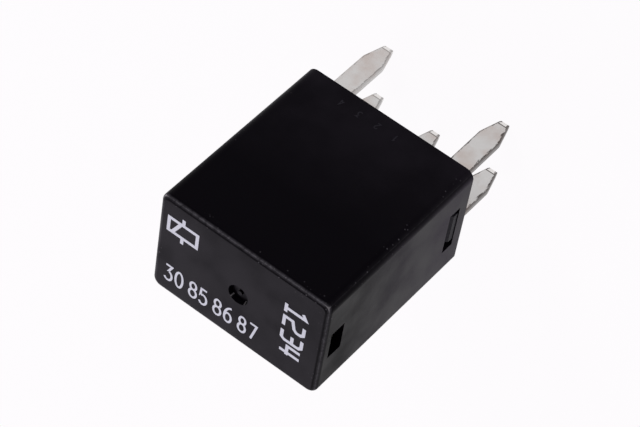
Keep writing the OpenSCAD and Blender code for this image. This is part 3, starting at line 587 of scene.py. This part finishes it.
class RelayFinish(bpy.types.PropertyGroup):
    """Colours and sheen of the relay's materials, and the blade sizes that the painted dark edges follow."""

    cover_colour: colour_property("Cover", "Colour of the cover's moulding", "#020103")
    # The handling film also paints in the sheen that lightens the narrow sides and the base end
    film_and_sheen_colour: colour_property("Handling film and sheen", "Colour of the cover's handling film and painted sheen", "#4b4550")
    sheen_colour: colour_property("Sheen", "Colour of the cover's reflections", "#efe3ff")
    cover_sheen: FloatProperty(
        name="Cover sheen", description="How strongly the cover reflects", default=0.031, min=0, max=1
    )
    cover_roughness: FloatProperty(
        name="Cover roughness", description="Roughness of the cover's skin", default=0.36, min=0, max=1
    )
    # Scuffs: rubbed wear with a painted highlight on the rounded edges
    scuff_and_highlight_colour: colour_property("Scuffs and highlights", "Colour of the pale mottles on the edges: wear and painted highlight", "#48464b")
    dust_colour: colour_property("Specks", "Colour of the moulding specks", "#625f65")
    # A painted highlight on the corners of the label end
    corner_highlight_colour: colour_property("Corner highlights", "Colour of the painted highlight on the label end's corners", "#b0abb0")
    mark_colour: colour_property("Mould marks", "Colour of the raised mould marks", "#26242a")
    # The base is a shade lighter than the cover: painted sheen for the latch nose in the cover's window
    base_colour: colour_property("Base", "Colour of the base's moulding", "#242228")
    tin_colour: colour_property("Tin", "Colour of the tin plating", "#cbcac8")
    # A painted highlight on the tip bevels
    tip_highlight_colour: colour_property("Tip highlight", "Colour of the bevelled tips", "#e4e2df")
    warm_tin_colour: colour_property("Warm tin", "Colour of the plating where it has aged", "#c0b8b3")
    # Painted dark reflection along the blades' edges and sides, and painted shade in the tip crease
    dark_reflection_colour: colour_property("Painted dark edge", "Colour of the painted dark reflection on the edges, sides and crease", "#3d3633")
    silver_colour: colour_property("Silver", "Colour of the contacts", "#dedcd6")
    bronze_colour: colour_property("Bronze", "Colour of the contact spring", "#c99a5b")
    nickel_colour: colour_property("Nickel", "Colour of the yoke and the armature", "#b9b5ad")
    iron_colour: colour_property("Iron", "Colour of the turned core", "#a3a4a6")
    bobbin_colour: colour_property("Bobbin", "Colour of the bobbin's moulding", "#1d222c")
    wire_colour: colour_property("Wire", "Colour of the enamelled wire", "#c86a35")
    solder_colour: colour_property("Solder", "Colour of the solder", "#d5d6d8")
    ink_colour: colour_property("Ink", "Colour of the printed marks", "#e4e5f2")
    thin_ink_colour: colour_property("Thin ink", "Colour of the print where the ink is thin", "#a9aab8")
    blade_pitch: length_property("Blade columns", "Distance from one column of blades to the next", 8.1)
    blade_width: length_property("Blade width", "Width of a blade", 2.8)
    blade_tip: length_property("Blade end", "Width of a blade at its very end", 1.1)
    blade_taper: length_property("Blade taper", "Length over which a blade narrows to its end", 3.03)
    blade_bevel: length_property("Tip bevel", "Length of the bevel that thins a blade's tip", 0.65)


class RelayMarks(bpy.types.PropertyGroup):
    """Numbers and signs on the case."""

    terminals: StringProperty(
        name="Terminal numbers", description="Digits and spaces along the label end", default="30 85 86 87"
    )
    digit_height: length_property("Terminal digits", "Height of the terminal numbers", 2.4)
    digit_pitch: length_property("Terminal digit pitch", "Distance from one digit to the next", 1.45)
    digit_stretch: stretch_property("Terminal digit width", 0.8)
    line_width: length_property("Stroke width", "Width of the terminal numbers' strokes", 0.28)
    pins: StringProperty(name="Pin numbers", description="Digits across the label end", default="1234")
    pin_height: length_property("Pin digits", "Height of the pin numbers", 2.62)
    pin_pitch: length_property("Pin digit pitch", "Distance from one digit to the next", 2.2)
    pin_stretch: stretch_property("Pin digit width", 1.1)
    sign_height: length_property("Coil sign", "Height and width of the coil sign", 3.85)
    bold_width: length_property("Bold stroke width", "Width of the pin numbers' and sign's strokes", 0.42)
    ink_height: length_property("Ink height", "How far the ink stands on the face", 0.02)
    cavity: StringProperty(
        name="Mould marks", description="Digits raised on the large face beside the base", default="1234"
    )
    mark_height: length_property("Mould digits", "Height of the mould marks", 0.85)
    mark_pitch: length_property("Mould digit pitch", "Distance from one mark to the next", 2.46)
    mark_stretch: stretch_property("Mould digit width", 0.9)
    mark_width: length_property("Mould stroke width", "Width of the mould marks' strokes", 0.15)
    mark_raise: length_property("Mould mark relief", "How far the mould marks stand on the face", 0.03)


class RelayMotion(bpy.types.PropertyGroup):
    """Where the contact spring bends, from the hinge."""

    bend_below: length_property("Bend below", "How far below the hinge the spring starts to bend", 3.4)
    bend_beyond: length_property("Bend beyond", "How far past the hinge, towards the contacts, it ends", 1.0)
    bend_above: length_property("Bend above", "How far above the hinge it ends", 2.0)
    bend_cuts: IntProperty(
        name="Bend cuts", description="Number of lengths that the bend is cut into", default=22, min=4, max=60
    )


class RelayStage(bpy.types.PropertyGroup):
    """Floor, light and camera."""

    floor_size: length_property("Floor", "Side of the floor", 3000)
    lens: FloatProperty(
        name="Lens", description="Focal length in millimetres", default=148.9, min=20, max=400, unit="CAMERA"
    )
    distance: length_property("Distance", "Distance from the camera to the point it looks at", 287.6)
    azimuth: FloatProperty(
        name="Azimuth", description="Camera's direction from +Y towards +X", default=math.radians(23.24),
        subtype="ANGLE",
    )
    elevation: FloatProperty(
        name="Elevation", description="Camera's height above the horizon", default=math.radians(34.22),
        subtype="ANGLE",
    )
    roll: FloatProperty(
        name="Roll", description="How far the camera is rolled about its view", default=math.radians(-132.2),
        subtype="ANGLE",
    )
    ambient: FloatProperty(
        name="Ambient", description="Strength of the white surroundings as light", default=0.48, min=0
    )
    key_power: FloatProperty(
        name="Key light", description="Power of the key light", default=0.5, min=0, unit="POWER"
    )
    key_colour: colour_property("Key light colour", "Colour of the key light", "#ffffff")
    key_size: length_property("Key light size", "Diameter of the key light", 120)
    back_power: FloatProperty(
        name="Back light", description="Power of the light behind the part", default=0.66, min=0, unit="POWER"
    )
    back_colour: colour_property("Back light colour", "Colour of the light behind the part", "#f8efff")
    back_size: length_property("Back light size", "Diameter of the light behind the part", 360)
    shadow: FloatProperty(
        name="Floor shadow", description="How much shadow the floor shows", default=0.04, min=0, max=1
    )


# ---------- pieces ----------

# Where each line of marks starts, in millimetres: the first three from a corner of the label end, and the
# mould marks from the middle of the large face's foot
TERMINALS_START = (1.65, 2.15, 0.0)
PINS_START = (-5.2, -3.45, 0.0)
SIGN_START = (1.4, -5.75, 0.0)
MOULD_MARKS_START = (2.2, 0.0, 1.6)
# Vertices of the spring closer than this become one
SPRING_WELD = 0.001 * MM


class RELAY_OT_case(bpy.types.Operator):
    """Give the cover and the base their moulded plastics"""

    bl_idname = "relay.case"
    bl_label = "Dress the case"

    def execute(self, context):
        finish = context.scene.relay_finish
        dress(cover_plastic(finish), "cover")
        dress(base_plastic(finish), "base")
        return {"FINISHED"}


class RELAY_OT_marks(bpy.types.Operator):
    """Print the numbers and the coil sign on the label end, and raise the mould marks on the large face"""

    bl_idname = "relay.marks"
    bl_label = "Mark the case"

    def execute(self, context):
        finish, marks = context.scene.relay_finish, context.scene.relay_marks
        ink = pad_ink(finish)
        top = case_high.z

        # Terminal numbers in one line beside the edge, upright
        line = line_of_digits(marks.terminals, marks.digit_height, marks.digit_pitch, marks.digit_stretch)
        start = Vector((case_low.x, case_low.y, top)) + Vector(TERMINALS_START) * MM
        place = on_face(start, (1, 0, 0), (0, 1, 0))
        terminals = strokes_mesh("terminal_numbers", line, marks.line_width, marks.ink_height, place)

        # Pin numbers across the face, bold and squared, their tops towards the narrow side
        line = line_of_digits(
            marks.pins, marks.pin_height, marks.pin_pitch, marks.pin_stretch, block_strokes
        )
        start = Vector((case_high.x, case_high.y, top)) + Vector(PINS_START) * MM
        place = on_face(start, (0, -1, 0), (1, 0, 0))
        pins = strokes_mesh("pin_numbers", line, marks.bold_width, marks.ink_height, place)

        # Coil sign in the corner
        sign = [moved(path, 0.0, 0.0, marks.sign_height / MM) for path in coil_sign()]
        start = Vector((case_low.x, case_high.y, top)) + Vector(SIGN_START) * MM
        place = on_face(start, (1, 0, 0), (0, 1, 0))
        coil = strokes_mesh("coil_sign", sign, marks.bold_width, marks.ink_height, place)

        for piece in (terminals, pins, coil):
            piece.data.materials.append(ink)
            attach(piece, "relay")

        # Mould marks, barely raised, beside the base
        raised = line_of_digits(marks.cavity, marks.mark_height, marks.mark_pitch, marks.mark_stretch)
        start = Vector((0.0, case_high.y, 0.0)) + Vector(MOULD_MARKS_START) * MM
        place = on_face(start, (-1, 0, 0), (0, 0, 1))
        mould_marks = strokes_mesh("mould_marks", raised, marks.mark_width, marks.mark_raise, place)
        mould_marks.data.materials.append(raised_plastic(finish))
        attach(mould_marks, "relay")
        return {"FINISHED"}


class RELAY_OT_terminals(bpy.types.Operator):
    """Plate the terminals and their blades with tin"""

    bl_idname = "relay.terminals"
    bl_label = "Plate the terminals"

    def execute(self, context):
        finish = context.scene.relay_finish
        tin = tinned_strip(finish)
        dress(tin, "terminal_30", "terminal_85", "terminal_86", "terminal_87", "terminal_87a")
        return {"FINISHED"}


class RELAY_OT_contacts(bpy.types.Operator):
    """Give the contacts their silver alloy"""

    bl_idname = "relay.contacts"
    bl_label = "Finish the contacts"

    def execute(self, context):
        finish = context.scene.relay_finish
        # Silver tin oxide, cold headed: pale and softly bright, with a fine pressed grain
        silver = plain_metal(
            "Silver alloy cold headed", finish.silver_colour, roughness=0.24, grain=0.15, depth=0.002
        )
        dress(silver, "contact_87", "contact_87a", "moving_contact")
        return {"FINISHED"}


class RELAY_OT_spring(bpy.types.Operator):
    """Make the contact spring, cut into short lengths where it passes from the yoke to the armature"""

    bl_idname = "relay.spring"
    bl_label = "Make the contact spring"

    def execute(self, context):
        finish, motion = context.scene.relay_finish, context.scene.relay_motion
        hinge = Vector(frame["joints"][0]["pos_m"])
        start = Vector((hinge.x, 0.0, hinge.z - motion.bend_below))
        end = Vector((hinge.x + motion.bend_beyond, 0.0, hinge.z + motion.bend_above))

        # The strip's own shape, cut across every quarter millimetre over the stretch by the hinge
        mesh = bmesh.new()
        mesh.from_mesh(frame["nodes"]["contact_spring"].data)
        bmesh.ops.remove_doubles(mesh, verts=mesh.verts, dist=SPRING_WELD)
        for k in range(motion.bend_cuts + 1):
            bmesh.ops.bisect_plane(
                mesh, geom=mesh.verts[:] + mesh.edges[:] + mesh.faces[:], dist=SPRING_WELD,
                plane_co=start.lerp(end, k / motion.bend_cuts), plane_no=end - start,
            )
        spring = new_object("bent_spring", mesh)
        # Phosphor bronze, cold rolled: warm and bright, with rolling lines along the strip
        bronze = plain_metal(
            "Phosphor bronze cold rolled", finish.bronze_colour, roughness=0.3, grain=0.12,
            stretch=(0.08, 1.0, 0.08),
        )
        spring.data.materials.append(bronze)
        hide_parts("contact_spring")
        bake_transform(spring)
        return {"FINISHED"}


class RELAY_OT_magnet(bpy.types.Operator):
    """Finish the yoke, the armature and the core"""

    bl_idname = "relay.magnet"
    bl_label = "Finish the magnet"

    def execute(self, context):
        finish = context.scene.relay_finish
        # Soft iron, stamped and barrel plated with nickel: warm grey, with a tumbled grain
        nickel = plain_metal("Soft iron nickel plated", finish.nickel_colour, roughness=0.36, grain=0.3)
        dress(nickel, "yoke", "armature")
        # Soft iron, turned: rings 0.1 mm apart round the core's axis
        turned = plain_metal(
            "Soft iron turned", finish.iron_colour, roughness=0.4, grain=0.1, stretch=(0.05, 0.05, 1.0)
        )
        dress(turned, "core")
        return {"FINISHED"}


class RELAY_OT_coil(bpy.types.Operator):
    """Finish the bobbin, its winding, the lead wires and their solder"""

    bl_idname = "relay.coil"
    bl_label = "Finish the coil"

    def execute(self, context):
        finish = context.scene.relay_finish
        dress(bobbin_plastic(finish), "bobbin")
        dress(enamelled_wire(finish), "winding", "lead_wire_85", "lead_wire_86")
        # Tin solder, frozen from the melt: bright and smooth, with slight frosting
        solder = plain_metal(
            "Tin solder frozen", finish.solder_colour, roughness=0.22, grain=0.6, depth=0.01
        )
        dress(solder, "solder_85", "solder_86")
        return {"FINISHED"}


# ---------- stage ----------

# Points that the lamps and the camera face, and where the lamps stand from theirs, in millimetres
LAMP_TARGET = (0.0, 0.0, 9.0)
KEY_FROM = (-170, 360, 300)
BACK_FROM = (-230, -400, 200)
CAMERA_TARGET = (-1.17, -1.3, 9.44)


def seen_directly(tree):
    """1 for rays from the camera, from a mirror-like surface or through glass, and 0 for the rest."""
    path = add_node(tree, "LightPath").node.outputs
    either = add_node(tree, "Math", {0: path["Is Camera Ray"], 1: path["Is Glossy Ray"]}, operation="MAXIMUM")
    return add_node(tree, "Math", {0: either, 1: path["Is Transmission Ray"]}, operation="MAXIMUM")


def white_world(stage):
    """Even white surroundings: a plain white to look at, and a softer level as light."""
    world = bpy.data.worlds.new("White surroundings")
    world.use_nodes = True
    tree = world.node_tree
    background = tree.nodes["Background"]
    background.inputs["Color"].default_value = rgba(linear(BACKGROUND))
    level = add_node(tree, "MapRange", {0: seen_directly(tree), 3: stage.ambient, 4: 1.0})
    tree.links.new(level, background.inputs["Strength"])
    bpy.context.scene.world = world


def floor_paper(stage):
    """White studio paper, matt: it looks plain white and keeps a little of the part's shadow."""
    material = bpy.data.materials.new("Studio paper")
    material.use_nodes = True
    tree = material.node_tree
    shader = tree.nodes["Principled BSDF"]
    shader.inputs["Base Color"].default_value = rgba((1.0, 1.0, 1.0))
    shader.inputs["Roughness"].default_value = 0.9
    shader.inputs["Specular IOR Level"].default_value = 0.0
    glow = add_node(tree, "Emission", {"Color": rgba(linear(BACKGROUND)), "Strength": 1.0})
    plain = add_node(tree, "Math", {0: seen_directly(tree), 1: 1 - stage.shadow}, operation="MULTIPLY")
    mixed = add_node(tree, "MixShader", {0: plain, 1: shader.outputs[0], 2: glow})
    tree.links.new(mixed, tree.nodes["Material Output"].inputs["Surface"])
    return material


def area_lamp(name, power, colour, diameter, offset):
    """A round lamp that shines on the middle of the part, from an offset in millimetres."""
    data = bpy.data.lights.new(name, "AREA")
    data.energy = power
    data.color = colour
    data.shape = "DISK"
    data.size = diameter
    lamp = bpy.data.objects.new(name, data)
    lamp.location = (Vector(LAMP_TARGET) + Vector(offset)) * MM
    lamp.rotation_euler = (-Vector(offset)).to_track_quat("-Z", "Y").to_euler()
    bpy.context.scene.collection.objects.link(lamp)


class RELAY_OT_stage(bpy.types.Operator):
    """Lay the floor, light the part and place the camera"""

    bl_idname = "relay.stage"
    bl_label = "Set the stage"

    def execute(self, context):
        scene, stage = context.scene, context.scene.relay_stage
        scene.view_settings.view_transform = "Standard"
        white_world(stage)

        half = stage.floor_size / 2
        mesh = bmesh.new()
        corners = [mesh.verts.new((x * half, y * half, 0)) for x, y in ((-1, -1), (1, -1), (1, 1), (-1, 1))]
        mesh.faces.new(corners)
        floor = new_object("floor", mesh)
        floor.data.materials.append(floor_paper(stage))
        floor.location.z = cad_low.z

        area_lamp("key", stage.key_power, stage.key_colour, stage.key_size, KEY_FROM)
        area_lamp("back", stage.back_power, stage.back_colour, stage.back_size, BACK_FROM)

        target = Vector(CAMERA_TARGET) * MM
        flat = math.cos(stage.elevation)
        back = Vector((
            math.sin(stage.azimuth) * flat, math.cos(stage.azimuth) * flat, math.sin(stage.elevation)
        ))
        data = bpy.data.cameras.new("camera")
        data.lens = stage.lens
        data.clip_start = 10 * MM
        camera = bpy.data.objects.new("camera", data)
        camera.location = target + back * stage.distance
        facing = (-back).to_track_quat("-Z", "Y").to_matrix().to_4x4()
        camera.rotation_euler = (facing @ Matrix.Rotation(stage.roll, 4, "Z")).to_euler()
        scene.collection.objects.link(camera)
        scene.camera = camera
        return {"FINISHED"}


# ---------- panel and registration ----------

OPERATORS = (
    RELAY_OT_stage, RELAY_OT_case, RELAY_OT_marks, RELAY_OT_terminals, RELAY_OT_contacts, RELAY_OT_spring,
    RELAY_OT_magnet, RELAY_OT_coil,
)
SETTINGS = {
    "relay_finish": RelayFinish, "relay_marks": RelayMarks, "relay_motion": RelayMotion,
    "relay_stage": RelayStage,
}


class RELAY_PT_dresser(bpy.types.Panel):
    """Settings and steps for dressing the relay"""

    bl_idname = "RELAY_PT_dresser"
    bl_label = "Relay"
    bl_space_type = "VIEW_3D"
    bl_region_type = "UI"
    bl_category = "Relay"

    def draw(self, context):
        for name, group in SETTINGS.items():
            box = self.layout.box()
            for key in group.__annotations__:
                box.prop(getattr(context.scene, name), key)
        for operator in OPERATORS:
            self.layout.operator(operator.bl_idname)


def register():
    for kind in (*SETTINGS.values(), *OPERATORS, RELAY_PT_dresser):
        bpy.utils.register_class(kind)
    for name, group in SETTINGS.items():
        setattr(bpy.types.Scene, name, PointerProperty(type=group))


def unregister():
    for name in SETTINGS:
        delattr(bpy.types.Scene, name)
    for kind in reversed((*SETTINGS.values(), *OPERATORS, RELAY_PT_dresser)):
        bpy.utils.unregister_class(kind)


def main():
    register()
    for operator in OPERATORS:
        group, name = operator.bl_idname.split(".")
        getattr(getattr(bpy.ops, group), name)()


if __name__ == "__main__":
    main()
